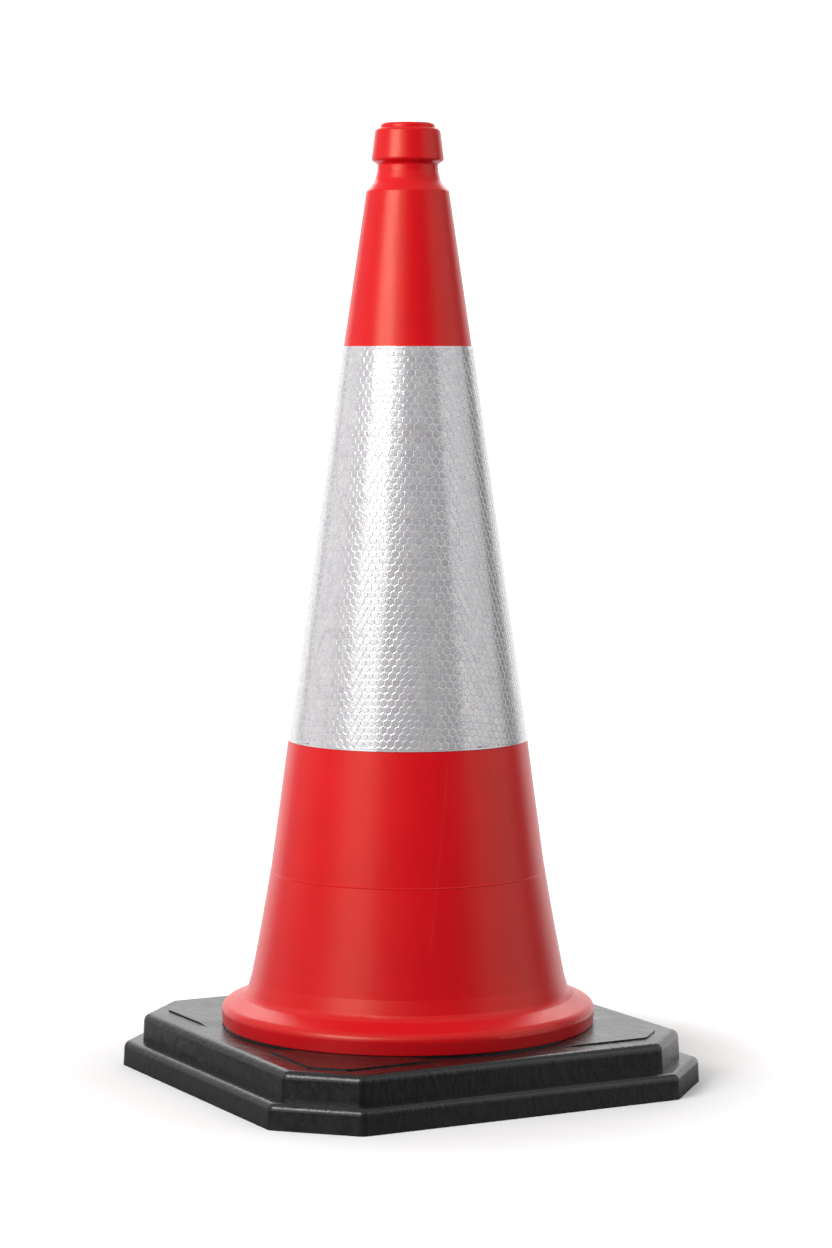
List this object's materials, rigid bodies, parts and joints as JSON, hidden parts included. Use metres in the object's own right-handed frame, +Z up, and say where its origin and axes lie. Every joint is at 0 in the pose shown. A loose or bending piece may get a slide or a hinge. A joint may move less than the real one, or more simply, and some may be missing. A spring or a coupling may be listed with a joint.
{
  "type": "traffic cone",
  "caption": "Tall two-part traffic cone: hollow tapered body with grip head and flange, push-on reflective sleeve, and a stepped octagonal ballast base with a twist lock.",
  "frame": {"origin": "centre of the base's underside, on the ground", "axes": "+Z up along the cone's axis; X and Y square to the sides of the base"},
  "size_m": [0.5014, 0.5014, 1],
  "materials": {
    "recycled_rubber": "satin",
    "red_polyethylene": "satin",
    "prismatic_sheeting": "satin"
  },
  "bodies": {
    "base": {"rubber_base": "recycled_rubber"},
    "cone": {"cone_body": "red_polyethylene"},
    "sleeve": {"reflective_sleeve": "prismatic_sheeting"}
  },
  "joints": [
    {"name": "cone_twist", "type": "hinge", "parent": "base", "child": "cone", "pos_m": [0, 0, 0.057], "axis": [0, 0, 1], "range_deg": [0, 40]},
    {"name": "sleeve_slide", "type": "slide", "parent": "cone", "child": "sleeve", "axis": [0, 0, 1], "range_m": [0, 0.66]}
  ]
}
